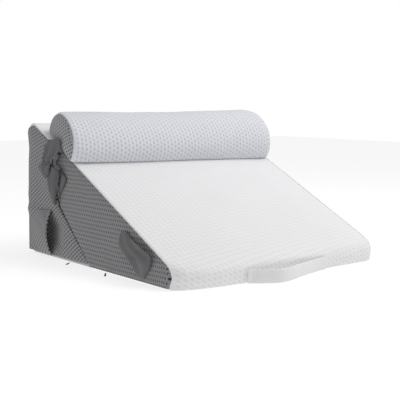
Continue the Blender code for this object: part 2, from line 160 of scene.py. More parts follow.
@dataclass
class Outline:
    """A side outline with rounded corners, anticlockwise, and how many points each edge gets."""

    corners: list[Corner]
    edge_steps: list[int]
    arc_steps: int = 8

    def inset(self, amounts: list[float]) -> "Outline":
        """The outline with edge i, from corner i to the next, moved inwards by amounts[i]."""
        count = len(self.corners)
        lines = []
        for i, corner in enumerate(self.corners):
            start = Vector((corner.y, corner.z))
            ahead = self.corners[(i + 1) % count]
            along = (Vector((ahead.y, ahead.z)) - start).normalized()
            lines.append((start + Vector((-along.y, along.x)) * amounts[i], along))
        moved = []
        for i, corner in enumerate(self.corners):
            (p, u), (q, v) = lines[i - 1], lines[i]
            t = ((q.x - p.x) * v.y - (q.y - p.y) * v.x) / (u.x * v.y - u.y * v.x)
            place = p + u * t
            radius = max(0.001, corner.radius - min(amounts[i - 1], amounts[i]))
            moved.append(Corner(place.x, place.y, radius))
        return Outline(moved, self.edge_steps, self.arc_steps)

    def arcs(self) -> list[np.ndarray]:
        """The rounded corners, each as a row of (y, z) points."""
        count = len(self.corners)
        rows = []
        for i, corner in enumerate(self.corners):
            here = Vector((corner.y, corner.z))
            before, after = self.corners[i - 1], self.corners[(i + 1) % count]
            back = (Vector((before.y, before.z)) - here).normalized()
            ahead = (Vector((after.y, after.z)) - here).normalized()
            half = back.angle(ahead) / 2
            centre = here + (back + ahead).normalized() * (corner.radius / math.sin(half))
            reach = corner.radius / math.tan(half)
            first, last = here + back * reach - centre, here + ahead * reach - centre
            sweep = math.pi - 2 * half
            arc = []
            for k in range(self.arc_steps + 1):
                t = k / self.arc_steps
                turned = first * math.sin((1 - t) * sweep) + last * math.sin(t * sweep)
                arc.append(tuple(centre + turned / math.sin(sweep)))
            rows.append(np.array(arc))
        return rows

    def points(self) -> np.ndarray:
        """The whole outline as (y, z) points."""
        arcs = self.arcs()
        rows = []
        for i, arc in enumerate(arcs):
            rows.append(arc)
            ahead = arcs[(i + 1) % len(arcs)][0]
            steps = np.linspace(0, 1, self.edge_steps[i] + 1)[1:-1, None]
            rows.append(arc[-1] + (ahead - arc[-1]) * steps)
        return np.vstack(rows)

    def side(self, first: int, last: int) -> np.ndarray:
        """The stretch of the outline between the middles of two of its corners."""
        arcs = self.arcs()
        count = len(arcs)
        middle = self.arc_steps // 2
        rows = [arcs[first][middle:]]
        i = (first + 1) % count
        while i != last:
            rows.append(arcs[i])
            i = (i + 1) % count
        rows.append(arcs[last][: middle + 1])
        return np.vstack(rows)


def make_piece(name: str, points: np.ndarray, faces: list, uv: np.ndarray) -> bpy.types.Object:
    """A smooth-shaded mesh object with texture coordinates in metres.

    Args:
        name: name of the object.
        points: vertex places, one row each.
        faces: vertex numbers of each face.
        uv: cloth coordinates of each vertex, in metres.

    Returns:
        The new object.
    """
    mesh = bpy.data.meshes.new(name)
    mesh.from_pydata([tuple(p) for p in points], [], faces)
    layer = mesh.uv_layers.new(name="cloth")
    numbers = np.empty(len(mesh.loops), dtype=np.int64)
    mesh.loops.foreach_get("vertex_index", numbers)
    layer.data.foreach_set("uv", uv[numbers].astype(np.float32).ravel())
    mesh.shade_smooth()
    mesh.validate()
    piece = bpy.data.objects.new(name, mesh)
    bpy.context.scene.collection.objects.link(piece)
    return piece


def make_loft(name: str, rings: np.ndarray, uv: np.ndarray, looped: bool = False) -> bpy.types.Object:
    """A closed solid through closed rings of points.

    Args:
        name: name of the object.
        rings: points as (ring, point, xyz).
        uv: cloth coordinates as (ring, point, 2).
        looped: joins the last ring to the first one, in place of flat ends.
    """
    count, size = rings.shape[:2]
    faces = []
    for r in range(count - 1):
        for i in range(size):
            j = (i + 1) % size
            faces.append((r * size + i, r * size + j, (r + 1) * size + j, (r + 1) * size + i))
    last = (count - 1) * size
    if looped:
        faces.extend((last + i, last + (i + 1) % size, (i + 1) % size, i) for i in range(size))
    else:
        faces.append(tuple(reversed(range(size))))
        faces.append(tuple(range(last, count * size)))
    return outward(make_piece(name, rings.reshape(-1, 3), faces, uv.reshape(-1, 2)))


def make_slab(name: str, outer: np.ndarray, inner: np.ndarray, uv: np.ndarray) -> bpy.types.Object:
    """A closed thin sheet between two grids of points of the same size.

    Args:
        name: name of the object.
        outer: points of the outer face as (row, column, xyz).
        inner: points of the inner face.
        uv: cloth coordinates as (row, column, 2).
    """
    rows, columns = outer.shape[:2]
    base = rows * columns
    faces = []
    for r in range(rows - 1):
        for c in range(columns - 1):
            a = r * columns + c
            quad = (a, a + 1, a + columns + 1, a + columns)
            faces.append(quad)
            faces.append(tuple(base + i for i in reversed(quad)))
    rim = [c for c in range(columns)]
    rim += [r * columns + columns - 1 for r in range(1, rows)]
    rim += [(rows - 1) * columns + c for c in range(columns - 2, -1, -1)]
    rim += [r * columns for r in range(rows - 2, 0, -1)]
    for a, b in zip(rim, [*rim[1:], rim[0]]):
        faces.append((b, a, base + a, base + b))
    points = np.vstack([outer.reshape(-1, 3), inner.reshape(-1, 3)])
    cloth = np.vstack([uv.reshape(-1, 2), uv.reshape(-1, 2)])
    return outward(make_piece(name, points, faces, cloth))


def outward(piece: bpy.types.Object) -> bpy.types.Object:
    """Turn the faces of a closed piece outwards."""
    mesh = piece.data
    volume = 0.0
    for polygon in mesh.polygons:
        corner = [mesh.vertices[i].co for i in polygon.vertices]
        for k in range(1, len(corner) - 1):
            volume += corner[0].dot(corner[k].cross(corner[k + 1]))
    if volume < 0:
        mesh.flip_normals()
    return piece


def coons(low: np.ndarray, high: np.ndarray, left: np.ndarray, right: np.ndarray, shape: tuple) -> np.ndarray:
    """A grid of points that fills four joined sides.

    Args:
        low, high: sides that run from the left side to the right one.
        left, right: sides that run from the low side to the high one.
        shape: number of points along the low and the left side.
    """
    across, up = shape
    low, high = along_line(low, across), along_line(high, across)
    left, right = along_line(left, up), along_line(right, up)
    u = np.linspace(0, 1, across)[:, None, None]
    v = np.linspace(0, 1, up)[None, :, None]
    ruled = (1 - v) * low[:, None] + v * high[:, None]
    crossed = (1 - u) * left[None] + u * right[None]
    bottom = (1 - u) * low[0] + u * low[-1]
    top = (1 - u) * high[0] + u * high[-1]
    return ruled + crossed - ((1 - v) * bottom + v * top)


def depth_inside(grid: np.ndarray) -> np.ndarray:
    """Distance of each point of a grid from the grid's rim."""
    rim = np.vstack([grid[0], grid[-1], grid[:, 0], grid[:, -1]])
    flat = grid.reshape(-1, grid.shape[-1])
    nearest = np.full(len(flat), np.inf)
    for k in range(0, len(rim), 64):
        part = rim[k : k + 64]
        gap = np.linalg.norm(flat[:, None] - part[None], axis=2)
        nearest = np.minimum(nearest, gap.min(axis=1))
    return nearest.reshape(grid.shape[:2])


def push(piece: bpy.types.Object, field_of: "callable") -> None:
    """Move each vertex along its normal by what field_of gives for its place, in metres."""
    mesh = piece.data
    points = np.empty(len(mesh.vertices) * 3)
    normals = np.empty(len(mesh.vertices) * 3)
    mesh.vertices.foreach_get("co", points)
    mesh.vertices.foreach_get("normal", normals)
    points, normals = points.reshape(-1, 3), normals.reshape(-1, 3)
    points += normals * field_of(points)[:, None]
    mesh.vertices.foreach_set("co", points.ravel())
    mesh.update()


def fill_out(piece: bpy.types.Object, swell: float, pinned: "callable") -> None:
    """Fill a closed cover under light pressure with the cloth solver, then keep the result as its mesh.

    Args:
        piece: the cover.
        swell: furthest that any point may move, in metres. The whole swelling is scaled to it.
        pinned: gives for the vertex places how firmly each is held, from 0 to 1.
    """
    mesh = piece.data
    start = np.empty(len(mesh.vertices) * 3)
    mesh.vertices.foreach_get("co", start)
    start = start.reshape(-1, 3)
    group = piece.vertex_groups.new(name="held")
    for number, weight in enumerate(pinned(start)):
        if weight > 0:
            group.add([number], float(weight), "REPLACE")
    cloth = piece.modifiers.new("fill", "CLOTH")
    cloth.settings.quality = 5
    cloth.settings.mass = 0.3
    cloth.settings.use_pressure = True
    cloth.settings.uniform_pressure_force = 4.0
    cloth.settings.effector_weights.gravity = 0.0
    cloth.settings.vertex_group_mass = "held"
    cloth.point_cache.frame_start = 1
    cloth.point_cache.frame_end = 20
    scene = bpy.context.scene
    for frame in range(1, 21):
        scene.frame_set(frame)
    solved = piece.evaluated_get(bpy.context.evaluated_depsgraph_get())
    end = np.empty(len(mesh.vertices) * 3)
    solved.data.vertices.foreach_get("co", end)
    move = end.reshape(-1, 3) - start
    furthest = np.linalg.norm(move, axis=1).max()
    piece.modifiers.remove(cloth)
    piece.vertex_groups.remove(group)
    scene.frame_set(1)
    share = swell / furthest if furthest > swell else 1.0
    mesh.vertices.foreach_set("co", (start + move * share).ravel())
    mesh.update()
    LOG.info("%s filled out: solver moved it %.1f mm, kept %.1f mm", piece.name, furthest * 1e3, furthest * share * 1e3)


def subdivide(piece: bpy.types.Object) -> None:
    """Apply one level of subdivision."""
    modifier = piece.modifiers.new("smooth", "SUBSURF")
    modifier.levels = 1
    modifier.render_levels = 1
    with bpy.context.temp_override(object=piece, active_object=piece, selected_objects=[piece]):
        bpy.ops.object.modifier_apply(modifier=modifier.name)


# Finishes


def add_node(tree: bpy.types.NodeTree, kind: str, values: dict | None = None, **settings) -> bpy.types.Node:
    """A shader node with its settings, and its inputs set or linked.

    Args:
        tree: the node tree.
        kind: the node type.
        values: input name or number to a value, or to an output socket that is linked to it.
        settings: properties of the node.
    """
    node = tree.nodes.new(kind)
    for key, value in settings.items():
        setattr(node, key, value)
    for key, value in (values or {}).items():
        if isinstance(value, bpy.types.NodeSocket):
            tree.links.new(value, node.inputs[key])
        else:
            node.inputs[key].default_value = value
    return node


@dataclass(frozen=True)
class Lattice:
    """A repeat of small oval dimples or holes on cloth, in millimetres of cloth.

    Args:
        first, second: the two steps from one dimple to its neighbours.
        half_axes: half the length and half the width of a dimple.
        turn: angle of a dimple's length from the cloth's first axis, in degrees.
        wander: how far the rows wander off their lines.
    """

    first: tuple[float, float]
    second: tuple[float, float]
    half_axes: tuple[float, float]
    turn: float = 0.0
    wander: float = 1.2

    def socket(self, tree: bpy.types.NodeTree, cloth: bpy.types.NodeSocket) -> bpy.types.NodeSocket:
        """Nodes that give 1 inside the dimples and 0 between them."""
        basis = np.array([self.first, self.second]).T / 1000
        inverse = np.linalg.inv(basis)
        turn = math.radians(self.turn)
        long, short = (a / 1000 for a in self.half_axes)
        axes = np.array([(math.cos(turn) / long, math.sin(turn) / long), (-math.sin(turn) / short, math.cos(turn) / short)])
        metric = axes @ basis
        waver = add_node(tree, "ShaderNodeTexNoise", {"Vector": cloth, "Scale": 14.0, "Detail": 1.0})
        centred = add_node(tree, "ShaderNodeVectorMath", {0: waver.outputs["Color"], 1: (-0.5, -0.5, 0.0)})
        scaled = add_node(
            tree, "ShaderNodeVectorMath", {0: centred.outputs[0], "Scale": 4 * self.wander / 1000}, operation="SCALE"
        )
        moved = add_node(tree, "ShaderNodeVectorMath", {0: cloth, 1: scaled.outputs[0]}).outputs[0]
        parts = []
        for row in inverse:
            step = add_node(tree, "ShaderNodeVectorMath", {0: moved, 1: (*row, 0.0)}, operation="DOT_PRODUCT")
            part = add_node(tree, "ShaderNodeMath", {0: step.outputs["Value"]}, operation="FRACT")
            parts.append(add_node(tree, "ShaderNodeMath", {0: part.outputs[0], 1: 0.5}, operation="SUBTRACT"))
        cell = add_node(tree, "ShaderNodeCombineXYZ", {0: parts[0].outputs[0], 1: parts[1].outputs[0]}).outputs[0]
        ends = [
            add_node(tree, "ShaderNodeVectorMath", {0: cell, 1: (*row, 0.0)}, operation="DOT_PRODUCT").outputs["Value"]
            for row in metric
        ]
        offset = add_node(tree, "ShaderNodeCombineXYZ", {0: ends[0], 1: ends[1]})
        far = add_node(tree, "ShaderNodeVectorMath", {0: offset.outputs[0]}, operation="LENGTH")
        edge = add_node(
            tree,
            "ShaderNodeMapRange",
            {"Value": far.outputs["Value"], "From Min": 0.45, "From Max": 1.25, "To Min": 1.0, "To Max": 0.0},
            interpolation_type="SMOOTHSTEP",
        )
        return edge.outputs["Result"]


@dataclass(frozen=True)
class Finish:
    """A cloth or plastic finish.

    Args:
        slot: the record's slot it fills. Not used.
        colour: the colour between the dimples.
        pit_colour: the colour in the dimples, or, where there are no dimples, the painted shade below a height.
        lattice: their repeat, or None.
        relief: depth of the dimples, in millimetres.
        grain: size of the yarn grain in millimetres.
        grain_relief: height of the yarn grain, in millimetres.
        mottle: how much the colour varies over a hand's width.
        roughness, sheen: of the cloth.
    """

    name: str
    slot: Slot
    colour: str
    pit_colour: str
    lattice: Lattice | None = None
    relief: float = 0.5
    grain: float = 1.2
    grain_relief: float = 0.12
    mottle: float = 0.03
    roughness: float = 0.9
    sheen: float = 0.2
    specular: float = 0.25
    # Height below which the cloth takes pit_colour, as painted shade on the base strip
    painted_shade_z: float = 0.0
    high_lattice: Lattice | None = None
    change_z: tuple[float, float] = (0.0, 0.0)

    def pits(self, tree: bpy.types.NodeTree, cloth: bpy.types.NodeSocket) -> bpy.types.NodeSocket | None:
        """The dimples' nodes, blended between two repeats by height where there are two."""
        if self.lattice is None:
            return None
        low = self.lattice.socket(tree, cloth)
        if self.high_lattice is None:
            return low
        high = self.high_lattice.socket(tree, cloth)
        place = add_node(tree, "ShaderNodeTexCoord").outputs["Object"]
        height = add_node(tree, "ShaderNodeSeparateXYZ", {0: place}).outputs["Z"]
        share = add_node(
            tree, "ShaderNodeMapRange", {"Value": height, "From Min": self.change_z[0], "From Max": self.change_z[1]}
        )
        return add_node(tree, "ShaderNodeMix", {0: share.outputs[0], 2: low, 3: high}).outputs[0]

    def below(self, tree: bpy.types.NodeTree, top: float) -> bpy.types.NodeSocket:
        """Nodes that give 1 below a height and 0 above it."""
        place = add_node(tree, "ShaderNodeTexCoord").outputs["Object"]
        height = add_node(tree, "ShaderNodeSeparateXYZ", {0: place}).outputs["Z"]
        limits = {"Value": height, "From Min": top, "From Max": top + 0.002, "To Min": 1.0, "To Max": 0.0}
        return add_node(tree, "ShaderNodeMapRange", limits).outputs[0]

    def material(self) -> bpy.types.Material:
        """The material, made once."""
        known = bpy.data.materials.get(self.name)
        if known is not None:
            return known
        material = bpy.data.materials.new(self.name)
        material.use_nodes = True
        tree = material.node_tree
        shader = tree.nodes["Principled BSDF"]
        shader.inputs["Sheen Weight"].default_value = self.sheen
        shader.inputs["Sheen Roughness"].default_value = 0.5
        shader.inputs["Specular IOR Level"].default_value = self.specular
        cloth = add_node(tree, "ShaderNodeUVMap", uv_map="cloth").outputs[0]
        fine = add_node(
            tree, "ShaderNodeTexNoise", {"Vector": cloth, "Scale": 1000 / self.grain, "Detail": 2.0}
        ).outputs[0]
        broad = add_node(tree, "ShaderNodeTexNoise", {"Vector": cloth, "Scale": 9.0, "Detail": 3.0}).outputs[0]
        tint = add_node(
            tree, "ShaderNodeMapRange", {"Value": broad, "To Min": 1 - self.mottle, "To Max": 1 + self.mottle}
        ).outputs[0]
        base = linear(self.colour)
        pits = self.pits(tree, cloth)
        colour = add_node(
            tree, "ShaderNodeMix", {0: 0.0, 6: base, 7: linear(self.pit_colour)}, data_type="RGBA", blend_type="MIX"
        )
        if pits is not None:
            tree.links.new(pits, colour.inputs[0])
        # Below that height the cloth takes pit_colour: painted shade darkening the rear base strip
        elif self.painted_shade_z > 0:
            tree.links.new(self.below(tree, self.painted_shade_z), colour.inputs[0])
        toned = add_node(
            tree, "ShaderNodeVectorMath", {0: colour.outputs[2], "Scale": tint}, operation="SCALE"
        ).outputs[0]
        tree.links.new(toned, shader.inputs["Base Color"])
        rough = add_node(
            tree,
            "ShaderNodeMapRange",
            {"Value": fine, "To Min": self.roughness - 0.08, "To Max": min(1.0, self.roughness + 0.08)},
        ).outputs[0]
        tree.links.new(rough, shader.inputs["Roughness"])
        height = add_node(
            tree, "ShaderNodeMath", {0: fine, 1: self.grain_relief / 1000}, operation="MULTIPLY"
        ).outputs[0]
        if pits is not None:
            dip = add_node(tree, "ShaderNodeMath", {0: pits, 1: self.relief / 1000}, operation="MULTIPLY").outputs[0]
            height = add_node(tree, "ShaderNodeMath", {0: height, 1: dip}, operation="SUBTRACT").outputs[0]
        bump = add_node(tree, "ShaderNodeBump", {"Height": height, "Distance": 1.0, "Strength": 1.0})
        tree.links.new(bump.outputs[0], shader.inputs["Normal"])
        return material


# Knitted cotton-blend cover: warm white with faint slanting rows of small dimples
WHITE_KNIT = Finish(
    "white_cotton_knit",
    Slot.WHITE,
    colour="#EDEDEE",
    pit_colour="#E2E2E5",
    lattice=Lattice((13.35, 8.9), (0.65, 10.6), (6.0, 2.2), turn=33.7),
    relief=0.25,
)
# The same knit seen flat on the small faces, where the rows don't show
PLAIN_KNIT = Finish("white_cotton_knit_plain", Slot.WHITE, colour="#EAEAEB", pit_colour="#DADADD", mottle=0.04)
# The same knit on the rear wedge, with painted shade: the pale strip at its base is painted a darker grey for the shade
# it lies in
BASE_KNIT_PAINTED_SHADE = Finish(
    "white_cotton_knit_base_painted_shade", Slot.WHITE, colour="#EAEAEB", pit_colour="#B4B4B8", mottle=0.04, painted_shade_z=0.0135
)
# Air-layer knit of the bolster: cool white with deep staggered dimples
QUILTED_KNIT = Finish(
    "white_air_layer_knit",
    Slot.QUILTED,
    colour="#DFE0E5",
    pit_colour="#C6C8D1",
    lattice=Lattice((10.3, 5.4), (-10.3, 5.4), (3.6, 2.4), turn=90.0),
    relief=0.9,
)
# Polyester spacer mesh of the front side: mid grey with rows of small upright holes
SPACER_MESH = Finish(
    "grey_spacer_mesh",
    Slot.MESH,
    colour="#8A8A8C",
    pit_colour="#303032",
    lattice=Lattice((7.4, 0.0), (3.7, 9.3), (2.9, 1.5), turn=90.0),
    relief=0.9,
)
# The same mesh turned on the bias for the rear side, with an even grid of holes near its top
BIAS_MESH = Finish(
    "grey_spacer_mesh_bias",
    Slot.MESH,
    colour="#929294",
    pit_colour="#3C3C3F",
    lattice=Lattice((-7.85, 5.56), (-7.85, -4.24), (4.6, 1.5), turn=144.7),
    high_lattice=Lattice((-7.85, 3.1), (-3.93, -7.0), (2.6, 2.0), turn=160.0),
    change_z=(0.17, 0.22),
    relief=0.9,
)
# The same mesh stretched over the bolster's ends
CAP_MESH = Finish(
    "grey_spacer_mesh_cap",
    Slot.MESH,
    colour="#A2A2A6",
    pit_colour="#444448",
    lattice=Lattice((-7.85, 3.1), (-3.93, -7.0), (2.8, 2.0), turn=160.0),
    relief=0.9,
)
# Mesh of the tie: darker and finer, bunched up
TIE_MESH = Finish(
    "grey_spacer_mesh_tie",
    Slot.MESH,
    colour="#6C6C70",
    pit_colour="#3C3C40",
    lattice=Lattice((5.2, 0.0), (2.6, 4.6), (1.8, 1.2), turn=90.0),
    relief=0.8,
)
# Woven polyester tape of the handle and tabs: smooth grey with a fine cross rib
TAPE = Finish(
    "grey_woven_tape",
    Slot.BAND,
    colour="#6E6E70",
    pit_colour="#565658",
    lattice=Lattice((2.2, 0.0), (0.0, 30.0), (14.0, 0.8), turn=90.0, wander=0.2),
    relief=0.15,
    roughness=0.8,
    specular=0.3,
)
# The tab of the same tape, darkened with painted shade
TAB_TAPE_PAINTED_SHADE = Finish(
    "grey_woven_tape_painted_shade",
    Slot.BAND,
    colour="#5E5E61",
    pit_colour="#48484B",
    lattice=Lattice((2.2, 0.0), (0.0, 30.0), (14.0, 0.8), turn=90.0, wander=0.2),
    relief=0.15,
    roughness=0.8,
    specular=0.3,
)
# Coated zip pull: near black and slightly glossy
ZIP_PLASTIC = Finish(
    "dark_zip_pull", Slot.ZIP, colour="#3A3A3D", pit_colour="#3A3A3D", roughness=0.5, sheen=0.0, specular=0.5, grain=3.0
)


def fit(piece: bpy.types.Object, finish: Finish, *nodes: str) -> bpy.types.Object:
    """Give a finished piece its material, put it in the shared frame and let it stand for CAD nodes."""
    piece.data.transform(Matrix.Translation(FRAME_SHIFT))
    piece.data.materials.clear()
    piece.data.materials.append(finish.material())
    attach(piece, "root")
    if nodes:
        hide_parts(*nodes)
    LOG.info("%s: %d faces, %s", piece.name, len(piece.data.polygons), finish.name)
    return piece


def nose_shape(points: np.ndarray) -> np.ndarray:
    """Stand the nose forward and lean the left side in, as the filled front cover does."""
    moved = points.copy()
    x, y, z = points[:, 0], points[:, 1], points[:, 2]
    forward = np.interp(x, NOSE_BULGE[:, 0], NOSE_BULGE[:, 1])
    near_nose = 1 - smoothstep(NOSE_Y + 0.010, NOSE_Y + 0.075, y)
    low = 1 - smoothstep(0.034, 0.066, z)
    moved[:, 1] -= forward * near_nose * low
    moved[:, 0] += LEFT_LEAN * z * np.maximum(0.0, -x) / HALF_WIDTH
    return moved


def plain_shape(points: np.ndarray) -> np.ndarray:
    """Leave points where they are."""
    return points.copy()


def shaped(grid: np.ndarray, shape: "callable") -> np.ndarray:
    """A grid of points put through a shape."""
    return shape(grid.reshape(-1, 3)).reshape(grid.shape)


@dataclass
class Cover:
    """The knitted cover of one wedge, a filled solid with soft edges."""

    name: str
    outline: Outline
    shape: "callable"
    relief: "callable"
    edge_round: float = 0.006
    half: float = 0.2968
    middle_steps: int = 110
    rim_steps: int = 7
    recess: float = 0.018

    def stations(self) -> list[tuple[float, float]]:
        """Places across the wedge and how far its outline is drawn in there."""
        rim = []
        for k in range(self.rim_steps):
            turn = math.pi / 2 * k / (self.rim_steps - 1)
            rim.append((self.half - self.edge_round * (1 - math.sin(turn)), self.edge_round * (1 - math.cos(turn))))
        inner = self.half - self.edge_round
        middle = [(x, 0.0) for x in np.linspace(-inner, inner, self.middle_steps)[1:-1]]
        right = [(x, inset) for x, inset in reversed(rim)]
        return [*((-x, inset) for x, inset in reversed(right)), *middle, *right][::-1]

    def build(self) -> bpy.types.Object:
        """Mesh of the cover. Its ends are recessed behind the side panels, which may be pressed in there."""
        rings, cloth = [], []
        count = len(self.outline.corners)
        full = self.outline.points()
        steps = np.linalg.norm(np.diff(full, axis=0), axis=1)
        walked = np.concatenate([[0.0], np.cumsum(steps)])
        lip = [(self.half - self.recess, self.edge_round + 0.0020), (self.half, self.edge_round + 0.0015)]
        left = [(-x, inset) for x, inset in lip]
        for x, inset in [*left, *sorted(self.stations()), *reversed(lip)]:
            profile = self.outline.inset([inset] * count).points()
            ring = np.column_stack([np.full(len(profile), x), profile[:, 0], np.maximum(profile[:, 1], 0.0)])
            rings.append(self.shape(ring))
            cloth.append(np.column_stack([np.full(len(profile), x), walked]))
        piece = make_loft(self.name, np.array(rings), np.array(cloth))
        push(piece, self.relief)
        return piece


@dataclass
class SidePanel:
    """A mesh panel sewn to the end of a wedge: it dips at its seam and stands a little proud inside it.

    Args:
        patch: grid of (y, z) points that fills it.
        shape: the wedge's shape.
        relief: takes y and z and gives how far the cloth stands out there, in metres.
    """

    name: str
    side: int
    patch: np.ndarray
    shape: "callable"
    relief: "callable"
    seam_x: float = 0.2964
    rise: float = 0.0026
    run: float = 0.010
    ripple: float = 0.0006
    hem: float = 0.0050

    def build(self) -> bpy.types.Object:
        """Mesh of the panel. Its rim is turned in, as a sewn edge is."""
        depth = depth_inside(self.patch)
        lift = self.rise * (1 - np.exp(-depth / self.run))
        flat = np.dstack([np.zeros_like(depth), self.patch])
        waves = cloud(flat.reshape(-1, 3), (1.0, 0.09, 0.06), 3.7 * self.side).reshape(depth.shape)
        lift = lift + self.ripple * waves * smoothstep(0.0, 0.03, depth)
        lift = lift + self.relief(self.patch[:, :, 0], self.patch[:, :, 1])
        turned_in = np.where(depth < 1e-6, self.hem, CLOTH)
        faces = []
        for below in (0.0, turned_in):
            x = self.side * (self.seam_x + CLOTH + lift - below)
            faces.append(shaped(np.dstack([x, self.patch]), self.shape))
        return make_slab(self.name, faces[0], faces[1], self.patch)

    def flat_size(self) -> tuple[float, float, float]:
        """Width, length and area of the cut panel, in metres."""
        spans = self.patch.reshape(-1, 2)
        size = spans.max(axis=0) - spans.min(axis=0)
        return (*size, grid_area(self.patch))


def grid_area(grid: np.ndarray) -> float:
    """Area of a flat or curved grid of points."""
    points = grid if grid.shape[2] == 3 else np.dstack([grid, np.zeros(grid.shape[:2])])
    a = points[1:, 1:] - points[:-1, :-1]
    b = points[1:, :-1] - points[:-1, 1:]
    return float(np.linalg.norm(np.cross(a, b), axis=2).sum() / 2)


def flat_relief(y: np.ndarray, z: np.ndarray) -> np.ndarray:
    """A panel with nothing that pushes or draws it."""
    return np.zeros_like(y)


def distance_to_line(y: np.ndarray, z: np.ndarray, line: np.ndarray) -> np.ndarray:
    """Distance of places on a panel from a line of (y, z) points."""
    nearest = np.full(y.shape, np.inf)
    for (ay, az), (by, bz) in zip(line, line[1:]):
        run = np.array([by - ay, bz - az])
        t = np.clip(((y - ay) * run[0] + (z - az) * run[1]) / (run @ run), 0.0, 1.0)
        nearest = np.minimum(nearest, np.hypot(y - ay - t * run[0], z - az - t * run[1]))
    return nearest


# Where the tie and the tab crease the front wedge's left side: y and z
TIE_CREASE = [
    (0.1605, 0.2463),
    (0.1776, 0.2335),
    (0.1944, 0.2202),
    (0.1742, 0.2135),
    (0.1543, 0.2071),
    (0.1501, 0.1982),
    (0.1537, 0.1794),
    (0.1597, 0.1604),
    (0.1642, 0.1414),
]

# How far the left rear edge stands out: columns are z and metres
REAR_EDGE = np.array(
    [
        (0.000, -0.0040),
        (0.008, -0.0020),
        (0.018, 0.0000),
        (0.032, 0.0018),
        (0.056, 0.0026),
        (0.086, 0.0030),
        (0.096, 0.0048),
        (0.106, 0.0068),
        (0.113, 0.0054),
        (0.122, 0.0036),
        (0.140, 0.0048),
        (0.165, 0.0036),
        (0.200, 0.0032),
        (0.225, 0.0024),
        (0.252, 0.0006),
        (0.270, 0.0022),
        (0.286, 0.0036),
        (0.300, 0.0034),
        (0.312, 0.0020),
        (0.320, 0.0000),
    ]
)


@dataclass
class FrontWedge:
    """The long front wedge: a white knitted cover and two mesh sides."""

    split_reveal: float = 0.0026

    def outline(self) -> Outline:
        """Side outline, anticlockwise from the lower rear corner."""
        nose = NOSE_Y - 0.005
        return Outline(
            [
                Corner(SPLIT_FOOT_Y, 0.0, 0.004),
                Corner(SPLIT_KNEE_Y, SPLIT_KNEE_Z, 0.018),
                Corner(SPLIT_TOP_Y, slope_z(SPLIT_TOP_Y), 0.013),
                Corner(nose, slope_z(nose), 0.032),
                Corner(NOSE_Y + 0.004, 0.0, 0.004),
            ],
            [40, 50, 100, 5, 60],
        )

    def relief(self, points: np.ndarray) -> np.ndarray:
        """Crown of the slope, waves of the cover, and puckers where the nose meets its seams."""
        x, y, z = points.T
        slope = NOSE_HEIGHT + (y - NOSE_Y) * SLOPE_RISE
        on_top = smoothstep(-0.030, -0.004, z - slope)
        from_side = HALF_WIDTH - np.abs(x)
        crown = 0.0016 * on_top * smoothstep(0.0, 0.10, from_side) * smoothstep(NOSE_Y, NOSE_Y + 0.12, y)
        waves = 0.0007 * cloud(points, (0.16, 0.10, 0.20), 1.3) * smoothstep(0.004, 0.05, from_side)
        near_nose = 1 - smoothstep(NOSE_Y - 0.01, NOSE_Y + 0.06, y)
        above_floor = smoothstep(0.002, 0.014, z)
        at_seam = 1 - smoothstep(0.01, 0.09, from_side)
        pucker = 0.0011 * cloud(points, (0.012, 0.05, 0.045), 7.1) * near_nose * (0.25 + at_seam)
        fold = 0.0008 * cloud(points, (0.05, 0.03, 0.018), 5.2) * near_nose
        return crown + (waves + pucker + fold) * above_floor

    def patch(self, reveal: float) -> np.ndarray:
        """Grid of (y, z) points that fills a side panel."""
        outline = self.outline().inset([-0.0002, -0.0002, 0.0024, 0.0024, 0.0030])
        split = outline.side(0, 2)
        split[:, 0] -= reveal * smoothstep(0.016, 0.030, split[:, 1]) * (1 - smoothstep(0.078, 0.094, split[:, 1]))
        low = outline.side(4, 0)
        low[:, 1] += 0.0022 * smoothstep(-0.215, -0.195, low[:, 0]) * (1 - smoothstep(-0.155, -0.125, low[:, 0]))
        high = outline.side(2, 3)[::-1]
        nose = outline.side(3, 4)[::-1]
        return coons(low, high, nose, split, (200, 120))

    def pressed_in(self, y: np.ndarray, z: np.ndarray) -> np.ndarray:
        """The left side is drawn in along the edges of the tie and the tab that lap over it."""
        near = distance_to_line(y, z, TIE_CREASE)
        groove = -0.0130 * (1 - smoothstep(0.0, 0.0065, near)) - 0.0045 * np.exp(-near / 0.012)
        return groove * smoothstep(0.135, 0.160, z)

    def build(self) -> None:
        """Build and dress the wedge."""
        cover = Cover("front_cover", self.outline(), nose_shape, self.relief).build()
        fit(cover, WHITE_KNIT, "front_wedge")
        for name, side, reveal in (("front_side_left", -1, self.split_reveal), ("front_side_right", 1, 0.0)):
            relief = self.pressed_in if side < 0 else flat_relief
            panel = SidePanel(f"{name}_mesh", side, self.patch(reveal), nose_shape, relief)
            piece = fit(panel.build(), SPACER_MESH, name)
            panel.flat_size()


